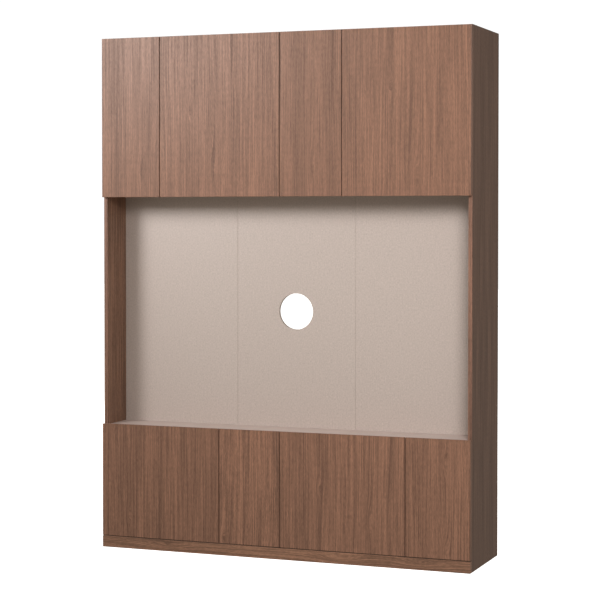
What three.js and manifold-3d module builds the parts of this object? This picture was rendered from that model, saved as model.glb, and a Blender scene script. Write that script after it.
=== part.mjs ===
// A walnut tv armoire: eight doors round an open niche, with a cable hole in the niche's back.
// Millimetres, +Z up. The origin is the middle of the footprint on the floor, and the doors face -Y.

import * as THREE from 'three';
import { mergeVertices } from 'three/addons/utils/BufferGeometryUtils.js';
import Module from 'manifold-3d';

const wasm = await Module();
wasm.setup();

// The whole cabinet.
const WIDTH = 1800;
const DEPTH = 460;
const HEIGHT = 2400;

// Boards. The inner boards stop short of the side panels' rear edges, and the rear rail fills that recess.
const BOARD = 18;
const DECK_THICKNESS = 25;
const REAR_SHEET = 6;
const REAR_RECESS = 18;

// The levels of the niche, and how deep it is from the doors' front.
const DECK_TOP = 580;
const NICHE_HEIGHT = 1085;
const NICHE_DEPTH = 210;

// Plinth board and doors.
const PLINTH_HEIGHT = 53;
const DOOR_THICKNESS = 18;
const DOOR_GAP = 3;
const DOOR_BACK_GAP = 2;
const TOP_REVEAL = 2;
const LOWER_DOOR_LIP = 5;
const UPPER_DOOR_OVERHANG = 12;
const FINGER_BEVEL = 10;

// The seams between the doors, as shares of the width. The dividers stand on the middle seam.
const DIVIDER_SHARE = 1 / 2;
const UPPER_SEAM_SHARES = [0, 1 / 6, DIVIDER_SHARE, 2 / 3, 1];
const LOWER_SEAM_SHARES = [0, 1 / 3, DIVIDER_SHARE, 5 / 6, 1];

// The niche back is three panels with fine joints, and the middle one has the cable hole.
const NICHE_PANELS = 3;
const NICHE_SEAM = 0.5;
const CABLE_HOLE_RADIUS = 84;
const CABLE_HOLE_HEIGHT = 541;

// Shelves, one in each of the four compartments.
const SHELF_SETBACK = 20;
const SHELF_END_GAP = 0.5;
const SHELF_HEIGHT_SHARE = 0.5;

// The rail behind the niche that screws to the wall.
const RAIL_HEIGHT = 100;
const RAIL_LAP_SHARE = 0.5;

// The cup half of a concealed hinge, sunk in the door.
const HINGE_END_DISTANCE = 90;
const CUP_SETBACK = 22.5;
const BORE_RADIUS = 17.5;
const BORE_DEPTH = 12;
const CUP_CLEARANCE = 0.3;
const CUP_WALL = 1.2;
const FLANGE_THICKNESS = 1.2;
const FLANGE_RADIUS = 19.5;
const FLANGE_REACH = 26;
const FLANGE_WING = 7;
const CUP_SIDES = 24;

// The arm half, fixed to the cabinet. Its nose hooks into the cup.
const ARM_HALF_WIDTH = 6;
const ARM_HEIGHT = 12;
const ARM_FRONT = 20;
const ARM_LENGTH = 42;
const ARM_EDGE = 2;
const NECK_FRONT = 5;
const NECK_WIDTH = 6.5;
const NOSE_CLEARANCE = 0.4;
const NOSE_SINK = 6;
const NOSE_THICKNESS = 4;
const PLATE_THICKNESS = 3;
const PLATE_REACH = 26;
const PLATE_FRONT = 26;
const PLATE_LENGTH = 22;

const CUT_OVERRUN = 1;
const HOLE_SEGMENTS = 48;
const CORNER_SEGMENTS = 3;

// Places that follow from the sizes above.
const LEFT = -WIDTH / 2;
const RIGHT = WIDTH / 2;
const INNER_LEFT = LEFT + BOARD;
const INNER_RIGHT = RIGHT - BOARD;
const FRONT = -DEPTH / 2;
const REAR = DEPTH / 2;
const DOOR_BACK = FRONT + DOOR_THICKNESS;
const CARCASS_FRONT = DOOR_BACK + DOOR_BACK_GAP;
const CARCASS_REAR = REAR - REAR_RECESS;
const LOWER_DOOR_BOTTOM = PLINTH_HEIGHT + DOOR_GAP;
const LOWER_DOOR_TOP = DECK_TOP + LOWER_DOOR_LIP;
const CEILING_BOTTOM = DECK_TOP + NICHE_HEIGHT;
const CEILING_TOP = CEILING_BOTTOM + BOARD;
const UPPER_DOOR_BOTTOM = CEILING_BOTTOM - UPPER_DOOR_OVERHANG;
const UPPER_DOOR_TOP = HEIGHT - TOP_REVEAL;
const BASE_BOTTOM = LOWER_DOOR_BOTTOM;
const BASE_TOP = BASE_BOTTOM + BOARD;
const DECK_BOTTOM = DECK_TOP - DECK_THICKNESS;
const TOP_BOTTOM = HEIGHT - BOARD;
const NICHE_BACK_FRONT = FRONT + NICHE_DEPTH;
const NICHE_BACK_REAR = NICHE_BACK_FRONT + BOARD;
const RAIL_TOP = CEILING_BOTTOM + BOARD * RAIL_LAP_SHARE;

const walnut = new THREE.MeshStandardMaterial({ color: 0x7e5d4a, roughness: 0.5 });
const darkWalnut = new THREE.MeshStandardMaterial({ color: 0x5d4b43, roughness: 0.55 });
const linenLaminate = new THREE.MeshStandardMaterial({ color: 0xc4b2a7, roughness: 0.75 });
const rearSheet = new THREE.MeshStandardMaterial({ color: 0xa8998d, roughness: 0.8 });
const steel = new THREE.MeshStandardMaterial({ color: 0xb9bcc0, roughness: 0.35, metalness: 1 });

const armoire = new THREE.Group();

function seamPlace(share) {
  return LEFT + WIDTH * share;
}

function addPiece(name, geometry, material, parent) {
  const piece = new THREE.Mesh(geometry, material);
  piece.name = name;
  parent.add(piece);
  return piece;
}

// A flat board between two places along each axis.
function addBoard(name, material, [x0, x1], [y0, y1], [z0, z1]) {
  const geometry = new THREE.BoxGeometry(x1 - x0, y1 - y0, z1 - z0);
  const board = addPiece(name, geometry, material, armoire);
  board.position.set((x0 + x1) / 2, (y0 + y1) / 2, (z0 + z1) / 2);
}

// Turns a closed geometry into a solid that can be cut and joined.
function toSolid(geometry) {
  const bare = geometry.clone();
  bare.deleteAttribute('normal');
  bare.deleteAttribute('uv');
  const merged = mergeVertices(bare);
  const vertProperties = new Float32Array(merged.attributes.position.array);
  const triVerts = new Uint32Array(merged.index.array);
  return new wasm.Manifold(new wasm.Mesh({ numProp: 3, vertProperties, triVerts }));
}

function toGeometry(solid) {
  const mesh = solid.getMesh();
  const geometry = new THREE.BufferGeometry();
  geometry.setAttribute('position', new THREE.BufferAttribute(mesh.vertProperties, mesh.numProp));
  geometry.setIndex(new THREE.BufferAttribute(mesh.triVerts, 1));
  geometry.computeVertexNormals();
  return geometry;
}

// An outline whose corners are rounded by short curves. A corner is [x, y] or [x, y, radius].
function roundedOutline(corners) {
  const outline = new THREE.Shape();
  const count = corners.length;
  corners.forEach(([x, y, radius = 0], i) => {
    const corner = new THREE.Vector2(x, y);
    const before = new THREE.Vector2(...corners[(i + count - 1) % count]);
    const after = new THREE.Vector2(...corners[(i + 1) % count]);
    const enter = before.sub(corner).setLength(radius).add(corner);
    const leave = after.sub(corner).setLength(radius).add(corner);
    if (i === 0) {
      outline.moveTo(enter.x, enter.y);
    } else {
      outline.lineTo(enter.x, enter.y);
    }
    if (radius > 0) {
      outline.quadraticCurveTo(x, y, leave.x, leave.y);
    }
  });
  outline.closePath();
  return outline;
}

// The carcass.
const acrossInside = [INNER_LEFT, INNER_RIGHT];
const throughDepth = [CARCASS_FRONT, CARCASS_REAR];
const dividerPlace = seamPlace(DIVIDER_SHARE);
const acrossDivider = [dividerPlace - BOARD / 2, dividerPlace + BOARD / 2];

addBoard('side_panel_left', darkWalnut, [LEFT, INNER_LEFT], [CARCASS_FRONT, REAR], [0, HEIGHT]);
addBoard('side_panel_right', darkWalnut, [INNER_RIGHT, RIGHT], [CARCASS_FRONT, REAR], [0, HEIGHT]);
addBoard('top_panel', darkWalnut, acrossInside, throughDepth, [TOP_BOTTOM, HEIGHT]);
addBoard('niche_ceiling_panel', linenLaminate, acrossInside, throughDepth, [CEILING_BOTTOM, CEILING_TOP]);
addBoard('niche_deck_panel', linenLaminate, acrossInside, throughDepth, [DECK_BOTTOM, DECK_TOP]);
addBoard('base_panel', linenLaminate, acrossInside, throughDepth, [BASE_BOTTOM, BASE_TOP]);
addBoard('upper_divider', linenLaminate, acrossDivider, throughDepth, [CEILING_TOP, TOP_BOTTOM]);
addBoard('lower_divider', linenLaminate, acrossDivider, throughDepth, [BASE_TOP, DECK_BOTTOM]);
addBoard('base_stretcher', linenLaminate, acrossDivider, throughDepth, [0, BASE_BOTTOM]);
addBoard('plinth_board', walnut, [LEFT, RIGHT], [FRONT, CARCASS_FRONT], [0, PLINTH_HEIGHT]);

const throughSheet = [CARCASS_REAR, CARCASS_REAR + REAR_SHEET];
addBoard('upper_rear_sheet', rearSheet, acrossInside, throughSheet, [RAIL_TOP, HEIGHT]);
addBoard('lower_rear_sheet', rearSheet, acrossInside, throughSheet, [BASE_BOTTOM, DECK_TOP]);
addBoard('wall_rail', linenLaminate, acrossInside, [CARCASS_REAR, REAR], [RAIL_TOP - RAIL_HEIGHT, RAIL_TOP]);

// The shelves, which rest on pins in the side panels and dividers.
function addShelf(name, [x0, x1], floor, ceiling) {
  const middle = floor + (ceiling - floor) * SHELF_HEIGHT_SHARE;
  const across = [x0 + SHELF_END_GAP, x1 - SHELF_END_GAP];
  const depth = [CARCASS_FRONT + SHELF_SETBACK, CARCASS_REAR];
  addBoard(name, linenLaminate, across, depth, [middle - BOARD / 2, middle + BOARD / 2]);
}

const leftHalf = [INNER_LEFT, acrossDivider[0]];
const rightHalf = [acrossDivider[1], INNER_RIGHT];
addShelf('upper_left_shelf', leftHalf, CEILING_TOP, TOP_BOTTOM);
addShelf('upper_right_shelf', rightHalf, CEILING_TOP, TOP_BOTTOM);
addShelf('lower_left_shelf', leftHalf, BASE_TOP, DECK_BOTTOM);
addShelf('lower_right_shelf', rightHalf, BASE_TOP, DECK_BOTTOM);

// The niche back stands on the deck under the ceiling panel, with the cable hole in its middle panel.
const nicheCell = (INNER_RIGHT - INNER_LEFT) / NICHE_PANELS;
const nichePanelNames = ['niche_back_left', 'niche_back_centre', 'niche_back_right'];
const middlePanel = (NICHE_PANELS - 1) / 2;

nichePanelNames.forEach((name, i) => {
  const width = nicheCell - NICHE_SEAM;
  const height = CEILING_BOTTOM - DECK_TOP;
  const outline = new THREE.Shape();
  outline.moveTo(-width / 2, 0);
  outline.lineTo(width / 2, 0);
  outline.lineTo(width / 2, height);
  outline.lineTo(-width / 2, height);
  outline.closePath();
  if (i === middlePanel) {
    const hole = new THREE.Path();
    hole.absarc(0, CABLE_HOLE_HEIGHT, CABLE_HOLE_RADIUS, 0, 2 * Math.PI, true);
    outline.holes.push(hole);
  }
  const options = { depth: BOARD, bevelEnabled: false, curveSegments: HOLE_SEGMENTS };
  const geometry = new THREE.ExtrudeGeometry(outline, options);
  const panel = addPiece(name, geometry, linenLaminate, armoire);
  panel.rotation.x = Math.PI / 2;
  panel.position.set(INNER_LEFT + nicheCell * (i + 1 / 2), NICHE_BACK_REAR, DECK_TOP);
});

// A door's board: its back edge is bevelled where fingers pull it, and it is bored for its hinge cups.
// towards is 1 when the board reaches to the right of its hinges and -1 when it reaches to the left.
function doorGeometry(width, height, towards, bevelAtTop, hingeHeights) {
  const corners = bevelAtTop
    ? [[0, 0], [DOOR_THICKNESS, 0], [DOOR_THICKNESS, height - FINGER_BEVEL],
      [DOOR_THICKNESS - FINGER_BEVEL, height], [0, height]]
    : [[0, 0], [DOOR_THICKNESS - FINGER_BEVEL, 0], [DOOR_THICKNESS, FINGER_BEVEL],
      [DOOR_THICKNESS, height], [0, height]];
  const section = new THREE.Shape(corners.map(([y, z]) => new THREE.Vector2(y, z)));
  const board = new THREE.ExtrudeGeometry(section, { depth: width, bevelEnabled: false });
  const sectionToDoor = new THREE.Matrix4().makeBasis(
    new THREE.Vector3(0, 1, 0),
    new THREE.Vector3(0, 0, 1),
    new THREE.Vector3(1, 0, 0),
  );
  board.applyMatrix4(sectionToDoor);
  if (towards < 0) {
    board.translate(-width, 0, 0);
  }
  let solid = toSolid(board);
  for (const place of hingeHeights) {
    const length = BORE_DEPTH + CUT_OVERRUN;
    const bore = new THREE.CylinderGeometry(BORE_RADIUS, BORE_RADIUS, length, CUP_SIDES);
    bore.translate(towards * CUP_SETBACK, DOOR_THICKNESS - BORE_DEPTH + length / 2, place);
    solid = solid.subtract(toSolid(bore));
  }
  return toGeometry(solid);
}

// The hinge cup, turned about its bore's axis, with its flange lying on the door's back.
// Its own frame has the bore's axis along Y and the door's back at zero.
function cupGeometry() {
  const outer = BORE_RADIUS - CUP_CLEARANCE;
  const inner = outer - CUP_WALL;
  const floor = CUP_CLEARANCE - BORE_DEPTH;
  const profile = [
    [0, floor],
    [outer, floor],
    [outer, FLANGE_THICKNESS],
    [inner, FLANGE_THICKNESS],
    [inner, floor + CUP_WALL],
    [0, floor + CUP_WALL],
  ];
  const points = profile.map(([radius, y]) => new THREE.Vector2(radius, y));
  const cup = new THREE.LatheGeometry(points, CUP_SIDES);

  const wingSlope = Math.acos(FLANGE_WING / FLANGE_RADIUS);
  const outline = new THREE.Shape();
  outline.moveTo(FLANGE_WING, -FLANGE_REACH + FLANGE_WING);
  outline.absarc(0, 0, FLANGE_RADIUS, -wingSlope, wingSlope, false);
  outline.absarc(0, FLANGE_REACH - FLANGE_WING, FLANGE_WING, 0, Math.PI, false);
  outline.absarc(0, 0, FLANGE_RADIUS, Math.PI - wingSlope, Math.PI + wingSlope, false);
  outline.absarc(0, -FLANGE_REACH + FLANGE_WING, FLANGE_WING, Math.PI, 2 * Math.PI, false);
  const mouth = new THREE.Path();
  mouth.absarc(0, 0, (inner + outer) / 2, 0, 2 * Math.PI, true);
  outline.holes.push(mouth);
  const options = { depth: FLANGE_THICKNESS, bevelEnabled: false, curveSegments: CUP_SIDES / 2 };
  const flange = new THREE.ExtrudeGeometry(outline, options);
  flange.rotateX(Math.PI / 2);
  flange.translate(0, FLANGE_THICKNESS, 0);
  return toGeometry(toSolid(cup).add(toSolid(flange)));
}

// The hinge arm with its mounting plate, seen from above and given its width upwards.
// Its own frame has the hinge's axis at zero, and seat is how far the face that carries it lies from the axis.
function armGeometry(seat, towards) {
  const noseFront = DOOR_THICKNESS - NOSE_SINK;
  const recess = BORE_RADIUS - CUP_CLEARANCE - CUP_WALL - NOSE_CLEARANCE;
  const noseEnd = CUP_SETBACK + Math.sqrt(recess ** 2 - ARM_HALF_WIDTH ** 2);
  const bodyFront = DOOR_THICKNESS + DOOR_BACK_GAP + ARM_FRONT;
  const bodyRear = bodyFront + ARM_LENGTH;
  const neckRear = DOOR_THICKNESS + DOOR_BACK_GAP + NECK_FRONT;
  const neckInner = CUP_SETBACK - NECK_WIDTH / 2;
  const neckOuter = CUP_SETBACK + NECK_WIDTH / 2;
  const corners = [
    [seat, bodyRear, ARM_EDGE],
    [seat, bodyFront, ARM_EDGE],
    [neckInner, neckRear, ARM_EDGE],
    [neckInner, noseFront, ARM_EDGE],
    [noseEnd, noseFront],
    [noseEnd, noseFront + NOSE_THICKNESS],
    [neckOuter, noseFront + NOSE_THICKNESS],
    [neckOuter, neckRear, ARM_EDGE],
    [seat + ARM_HEIGHT, bodyFront, ARM_EDGE],
    [seat + ARM_HEIGHT, bodyRear, ARM_EDGE],
  ];
  const outline = roundedOutline(corners.map(([s, d, radius]) => [towards * s, d, radius]));
  const options = { depth: 2 * ARM_HALF_WIDTH, bevelEnabled: false, curveSegments: CORNER_SEGMENTS };
  const arm = new THREE.ExtrudeGeometry(outline, options);
  arm.translate(0, 0, -ARM_HALF_WIDTH);

  const plate = new THREE.BoxGeometry(PLATE_THICKNESS, PLATE_LENGTH, 2 * PLATE_REACH);
  const plateMiddle = DOOR_THICKNESS + DOOR_BACK_GAP + PLATE_FRONT + PLATE_LENGTH / 2;
  plate.translate(towards * (seat + PLATE_THICKNESS / 2), plateMiddle, 0);
  return toGeometry(toSolid(arm).add(toSolid(plate)));
}

// A door with its cups, and the two arms on the side panel or divider that carry it.
function addDoor({ name, from, to, hingedAtLeft, onDivider, bottom, top, bevelAtTop }) {
  const towards = hingedAtLeft ? 1 : -1;
  const axisPlace = hingedAtLeft ? from : to;
  const seat = onDivider ? (BOARD - DOOR_GAP) / 2 : BOARD;
  const height = top - bottom;
  const hingePlaces = { bottom: HINGE_END_DISTANCE, top: height - HINGE_END_DISTANCE };

  const door = new THREE.Group();
  const arms = new THREE.Group();
  for (const group of [door, arms]) {
    group.position.set(axisPlace, FRONT, bottom);
    armoire.add(group);
  }
  const board = doorGeometry(to - from, height, towards, bevelAtTop, Object.values(hingePlaces));
  addPiece(`${name}_door`, board, walnut, door);

  for (const [end, place] of Object.entries(hingePlaces)) {
    const cup = addPiece(`${name}_${end}_hinge_cup`, cupGeometry(), steel, door);
    cup.position.set(towards * CUP_SETBACK, DOOR_THICKNESS, place);
    const arm = addPiece(`${name}_${end}_hinge_arm`, armGeometry(seat, towards), steel, arms);
    arm.position.z = place;
  }
}

// The four doors of one cabinet, from left to right, between its seams.
function addDoorRow(seamShares, doors, level) {
  doors.forEach((door, i) => {
    const last = doors.length - 1;
    const from = seamPlace(seamShares[i]) + (i > 0 ? DOOR_GAP / 2 : 0);
    const to = seamPlace(seamShares[i + 1]) - (i < last ? DOOR_GAP / 2 : 0);
    const onDivider = i > 0 && i < last;
    addDoor({ ...door, ...level, from, to, onDivider });
  });
}

const upperDoors = [
  { name: 'upper_left_narrow', hingedAtLeft: true },
  { name: 'upper_left_wide', hingedAtLeft: false },
  { name: 'upper_right_narrow', hingedAtLeft: true },
  { name: 'upper_right_wide', hingedAtLeft: false },
];
const lowerDoors = [
  { name: 'lower_left_wide', hingedAtLeft: true },
  { name: 'lower_left_narrow', hingedAtLeft: false },
  { name: 'lower_right_wide', hingedAtLeft: true },
  { name: 'lower_right_narrow', hingedAtLeft: false },
];
addDoorRow(UPPER_SEAM_SHARES, upperDoors, {
  bottom: UPPER_DOOR_BOTTOM,
  top: UPPER_DOOR_TOP,
  bevelAtTop: false,
});
addDoorRow(LOWER_SEAM_SHARES, lowerDoors, {
  bottom: LOWER_DOOR_BOTTOM,
  top: LOWER_DOOR_TOP,
  bevelAtTop: true,
});

export default armoire;
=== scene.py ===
# A walnut tv armoire: eight doors round an open niche, with a cable hole in the niche's back.
# Metres, doors towards -Y, standing on the floor at Z 0. Every board goes where the CAD model has it.

import math

import bpy
from mathutils import Euler, Matrix, Vector


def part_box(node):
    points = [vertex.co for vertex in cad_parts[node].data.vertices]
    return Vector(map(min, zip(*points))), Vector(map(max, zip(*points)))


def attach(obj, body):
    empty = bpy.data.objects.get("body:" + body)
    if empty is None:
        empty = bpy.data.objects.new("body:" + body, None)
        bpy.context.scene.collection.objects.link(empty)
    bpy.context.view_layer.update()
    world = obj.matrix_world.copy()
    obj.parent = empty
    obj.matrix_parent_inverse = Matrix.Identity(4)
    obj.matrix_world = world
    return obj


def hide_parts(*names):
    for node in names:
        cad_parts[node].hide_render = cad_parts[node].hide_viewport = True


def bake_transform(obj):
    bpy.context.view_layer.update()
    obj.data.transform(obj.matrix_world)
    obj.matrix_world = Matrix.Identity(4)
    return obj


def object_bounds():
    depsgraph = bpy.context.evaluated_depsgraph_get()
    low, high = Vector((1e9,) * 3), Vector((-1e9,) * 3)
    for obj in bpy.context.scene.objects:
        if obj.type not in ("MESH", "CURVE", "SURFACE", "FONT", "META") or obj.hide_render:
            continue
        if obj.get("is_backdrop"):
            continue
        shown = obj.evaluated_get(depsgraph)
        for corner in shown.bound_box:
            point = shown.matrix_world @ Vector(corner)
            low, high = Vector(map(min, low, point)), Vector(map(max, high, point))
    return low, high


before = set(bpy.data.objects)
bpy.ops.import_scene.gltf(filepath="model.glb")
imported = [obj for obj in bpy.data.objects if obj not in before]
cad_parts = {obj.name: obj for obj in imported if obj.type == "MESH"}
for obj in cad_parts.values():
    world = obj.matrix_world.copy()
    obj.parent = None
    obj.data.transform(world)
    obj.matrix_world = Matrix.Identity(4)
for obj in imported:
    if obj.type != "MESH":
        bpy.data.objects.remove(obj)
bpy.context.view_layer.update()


# The two side panels: particle board faced with walnut laminate, grain upright, standing on the floor.
# A glued band closes their edges, which are eased by hand, and drilled rows inside take the shelf pins.
EDGE_EASE = 0.0007
EASE_STEPS = 2
PIN_RADIUS = 0.0025
PIN_HOLE_DEPTH = 0.008
PIN_HOLE_SIDES = 12
PIN_ROW_INSET = 0.037
PIN_PITCH = 0.032
PINS_EACH_WAY = 3
# The outer faces' walnut is darker than the same laminate inside and on the doors: painted shade for the
# sides turned from the lamps.
SHADED_SIDE_WALNUT = (0.129, 0.067, 0.045)
INNER_SIDE_WALNUT = (0.212, 0.112, 0.070)
BAND_WALNUT = (0.195, 0.101, 0.069)
SIDE_GRAIN_TURN = (0, 0, math.radians(90))


def feed(tree, kind, sockets, out=0, **settings):
    """Adds a shader node, sets it up, feeds its sockets and returns one of its outputs."""
    made = tree.nodes.new("ShaderNode" + kind)
    for setting, value in settings.items():
        setattr(made, setting, value)
    for socket, value in sockets.items():
        if isinstance(value, bpy.types.NodeSocket):
            tree.links.new(value, made.inputs[socket])
        else:
            made.inputs[socket].default_value = value
    return made.outputs[out]


def multiply_add(tree, value, factor, addend):
    """A shader value times a factor, plus another."""
    return feed(tree, "Math", {0: value, 1: factor, 2: addend}, operation="MULTIPLY_ADD")


def streaks(tree, grain, across, along, detail=2.0, roughness=0.5):
    """Soft noise drawn out along the grain; across and along are its repeats per metre."""
    drawn = feed(tree, "VectorMath", {0: grain, 1: (across, across, along)}, operation="MULTIPLY")
    settings = {"Vector": drawn, "Scale": 1.0, "Detail": detail, "Roughness": roughness}
    return feed(tree, "TexNoise", settings)


def tint_ramp(tree, value, colour, stops):
    """The colour times a factor that runs through the stops as the value rises."""
    made = tree.nodes.new("ShaderNodeValToRGB")
    tree.links.new(value, made.inputs[0])
    points = made.color_ramp.elements
    while len(points) < len(stops):
        points.new(0.5)
    for point, (position, factors) in zip(points, stops):
        point.position = position
        point.color = [part * factor for part, factor in zip(colour, factors)] + [1]
    return made.outputs[0]


def finished(material, sockets):
    """Gives a material its surface shader and returns the material."""
    tree = material.node_tree
    surface = feed(tree, "BsdfPrincipled", sockets)
    output = tree.nodes.new("ShaderNodeOutputMaterial")
    tree.links.new(surface, output.inputs["Surface"])
    return material


def blank_material(name):
    """A material with an empty node tree, and the place on the piece that its patterns read."""
    material = bpy.data.materials.new(name)
    material.use_nodes = True
    material.node_tree.nodes.clear()
    return material, feed(material.node_tree, "TexCoord", {}, out="Object")


# How far the grain wanders sideways: repeats per metre across and along, and the reach in metres.
GRAIN_WAVES = ((3.0, 0.55, 0.030), (15.0, 1.7, 0.018), (48.0, 5.0, 0.0050))
# The grain, from wide bands to short flecks: repeats per metre across and along, octaves, and weight.
GRAIN_LAYERS = (
    (14.0, 0.45, 1.0, 0.36),
    (60.0, 1.40, 1.0, 0.42),
    (140.0, 1.80, 1.0, 0.66),
    (230.0, 1.70, 1.0, 1.50),
    (300.0, 5.50, 2.0, 1.10),
    (420.0, 70.0, 1.0, 0.90),
)
GRAIN_PORES = (900.0, 30.0)
WALNUT_SHADES = (
    (0.10, (0.60, 0.60, 0.61)),
    (0.40, (0.90, 0.90, 0.90)),
    (0.60, (1.09, 1.09, 1.09)),
    (0.90, (1.44, 1.44, 1.43)),
)


def walnut(
    name, colour, drift, turn=(0, 0, 0), figures=(), veins=(), contrast=1.0, roughness=0.42, specular=0.3
):
    """Walnut laminate. A figure is a flame or knot: x, z, half width, half height and push. A vein is a
    streak along the grain: x, half width and how much lighter it is."""
    material, place = blank_material(name)
    tree = material.node_tree
    board = feed(tree, "Mapping", {"Vector": place, "Rotation": turn, "Location": drift})
    sides = tree.nodes.new("ShaderNodeSeparateXYZ")
    tree.links.new(board, sides.inputs[0])
    rings = sides.outputs[0]
    for across, along, reach in GRAIN_WAVES:
        rings = multiply_add(tree, streaks(tree, board, across, along, 1.0), reach, rings)
    for x, z, half_width, half_height, push in figures:
        middle = (x + drift[0], 0, z + drift[2])
        from_middle = feed(tree, "VectorMath", {0: board, 1: middle}, operation="SUBTRACT")
        shares = (1 / half_width, 0, 1 / half_height)
        scaled = feed(tree, "VectorMath", {0: from_middle, 1: shares}, operation="MULTIPLY")
        square = feed(tree, "VectorMath", {0: scaled, 1: scaled}, out="Value", operation="DOT_PRODUCT")
        mound = feed(tree, "Math", {0: math.exp(-1), 1: square}, operation="POWER")
        rings = multiply_add(tree, mound, push, rings)
    grain = feed(tree, "CombineXYZ", {0: rings, 1: sides.outputs[1], 2: sides.outputs[2]})
    shade = 0.5 - contrast * sum(layer[3] for layer in GRAIN_LAYERS) / 2
    for across, along, octaves, weight in GRAIN_LAYERS:
        lines = streaks(tree, grain, across, along, octaves)
        shade = multiply_add(tree, lines, contrast * weight, shade)
    mean_wander = sum(wave[2] for wave in GRAIN_WAVES) / 2
    for x, half_width, lightness in veins:
        from_vein = multiply_add(tree, rings, 1 / half_width, -(x + drift[0] + mean_wander) / half_width)
        square = feed(tree, "Math", {0: from_vein, 1: from_vein}, operation="MULTIPLY")
        mound = feed(tree, "Math", {0: math.exp(-1), 1: square}, operation="POWER")
        shade = multiply_add(tree, mound, lightness, shade)
    pores = streaks(tree, grain, *GRAIN_PORES, 0.0)
    print_colour = tint_ramp(tree, shade, colour, WALNUT_SHADES)
    pore_range = {"Value": pores, "From Min": 0.60, "From Max": 0.72, "To Max": 0.45}
    open_pore = feed(tree, "MapRange", pore_range)
    pore_colour = [0.45 * part for part in colour] + [1]
    seen = feed(tree, "Mix", {0: open_pore, 6: print_colour, 7: pore_colour}, out=2, data_type="RGBA")
    relief = multiply_add(tree, open_pore, -1.0, lines)
    bump = feed(tree, "Bump", {"Strength": 0.25, "Distance": 0.0002, "Height": relief})
    gloss = feed(tree, "MapRange", {"Value": shade, "To Min": roughness + 0.07, "To Max": roughness - 0.07})
    sockets = {"Base Color": seen, "Roughness": gloss, "Specular IOR Level": specular, "Normal": bump}
    return finished(material, sockets)


def block(name, low, high):
    """A board blank between two corners, with its place in its mesh."""
    bpy.ops.object.select_all(action="DESELECT")
    low, high = Vector(low), Vector(high)
    bpy.ops.mesh.primitive_cube_add(size=1, location=(low + high) / 2, scale=high - low)
    bpy.ops.object.transform_apply()
    blank = bpy.context.object
    blank.name = blank.data.name = name
    return blank


def rod(name, low, high, radius, sides):
    """A round bar whose axis runs from one point to another, with its place in its mesh."""
    bpy.ops.object.select_all(action="DESELECT")
    low, high = Vector(low), Vector(high)
    turn = (high - low).to_track_quat("Z", "Y").to_euler()
    sizes = {"vertices": sides, "radius": radius, "depth": (high - low).length}
    bpy.ops.mesh.primitive_cylinder_add(location=(low + high) / 2, rotation=turn, **sizes)
    bpy.ops.object.transform_apply()
    bar = bpy.context.object
    bar.name = bar.data.name = name
    return bar


def pick(piece, part, chosen):
    """Selects the edges or faces that a test of their middle picks, and goes into edit mode."""
    bpy.ops.object.select_all(action="DESELECT")
    bpy.context.view_layer.objects.active = piece
    piece.select_set(True)
    mesh = piece.data
    for group in (mesh.vertices, mesh.edges, mesh.polygons):
        group.foreach_set("select", [False] * len(group))
    if part == "FACE":
        bpy.context.tool_settings.mesh_select_mode = (False, False, True)
        for face in mesh.polygons:
            face.select = chosen(face.center, face.normal)
    else:
        bpy.context.tool_settings.mesh_select_mode = (False, True, False)
        for edge in mesh.edges:
            start, end = (mesh.vertices[i].co for i in edge.vertices)
            edge.select = chosen((start + end) / 2, (end - start).normalized())
    bpy.ops.object.mode_set(mode="EDIT")


def ease(piece, radius, steps, chosen=lambda middle, way: True):
    """Rounds the chosen edges of a piece."""
    pick(piece, "EDGE", chosen)
    bpy.ops.mesh.bevel(offset=radius, segments=steps, affect="EDGES")
    bpy.ops.object.mode_set(mode="OBJECT")


def joined(pieces, name):
    """Joins pieces into one and names it."""
    bpy.ops.object.select_all(action="DESELECT")
    for piece in pieces:
        piece.select_set(True)
    whole = pieces[-1]
    bpy.context.view_layer.objects.active = whole
    if len(pieces) > 1:
        bpy.ops.object.join()
    whole.name = whole.data.name = name
    return whole


def repeat(pattern, offsets, name="copies"):
    """Copies a piece to each offset, joins the copies into one piece and deletes the pattern."""
    twins = []
    for offset in offsets:
        twin = pattern.copy()
        twin.data = pattern.data.copy()
        twin.data.transform(Matrix.Translation(offset))
        bpy.context.collection.objects.link(twin)
        twins.append(twin)
    bpy.data.objects.remove(pattern)
    return joined(twins, name)


def shaped(piece, operation, tool):
    """Cuts a tool's shape out of a piece, or adds it, and deletes the tool."""
    change = piece.modifiers.new(operation, "BOOLEAN")
    change.operation = operation
    change.object = tool
    bpy.ops.object.select_all(action="DESELECT")
    bpy.context.view_layer.objects.active = piece
    piece.select_set(True)
    bpy.ops.object.modifier_apply(modifier=change.name)
    bpy.data.objects.remove(tool)
    return piece


def fit(piece, body, slot, *materials):
    """Gives a finished piece its materials and the body that it moves with. Its slot is not used."""
    piece.data.materials.clear()
    for material in materials:
        piece.data.materials.append(material)
    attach(piece, body)
    return piece


def pin_places(shelf_node):
    """The pin heights and the two rows' depths that belong to a shelf."""
    low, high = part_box(shelf_node)
    middle = low.z - PIN_RADIUS
    heights = [middle + PIN_PITCH * i for i in range(-PINS_EACH_WAY, PINS_EACH_WAY + 1)]
    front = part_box("base_panel")[0].y + PIN_ROW_INSET
    rear = high.y - PIN_ROW_INSET
    return middle, heights, (front, rear)


def drill_pin_rows(panel, face_x, inwards, shelf_nodes):
    """Drills the rows of pin holes that face a compartment, from one face of a panel."""
    start = (face_x + inwards * PIN_HOLE_DEPTH, 0, 0)
    bit = rod("pin_bit", start, (face_x - inwards * PIN_HOLE_DEPTH, 0, 0), PIN_RADIUS, PIN_HOLE_SIDES)
    offsets = []
    for node in shelf_nodes:
        _, heights, rows = pin_places(node)
        offsets += [(0, row, height) for height in heights for row in rows]
    shaped(panel, "DIFFERENCE", repeat(bit, offsets))


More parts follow.
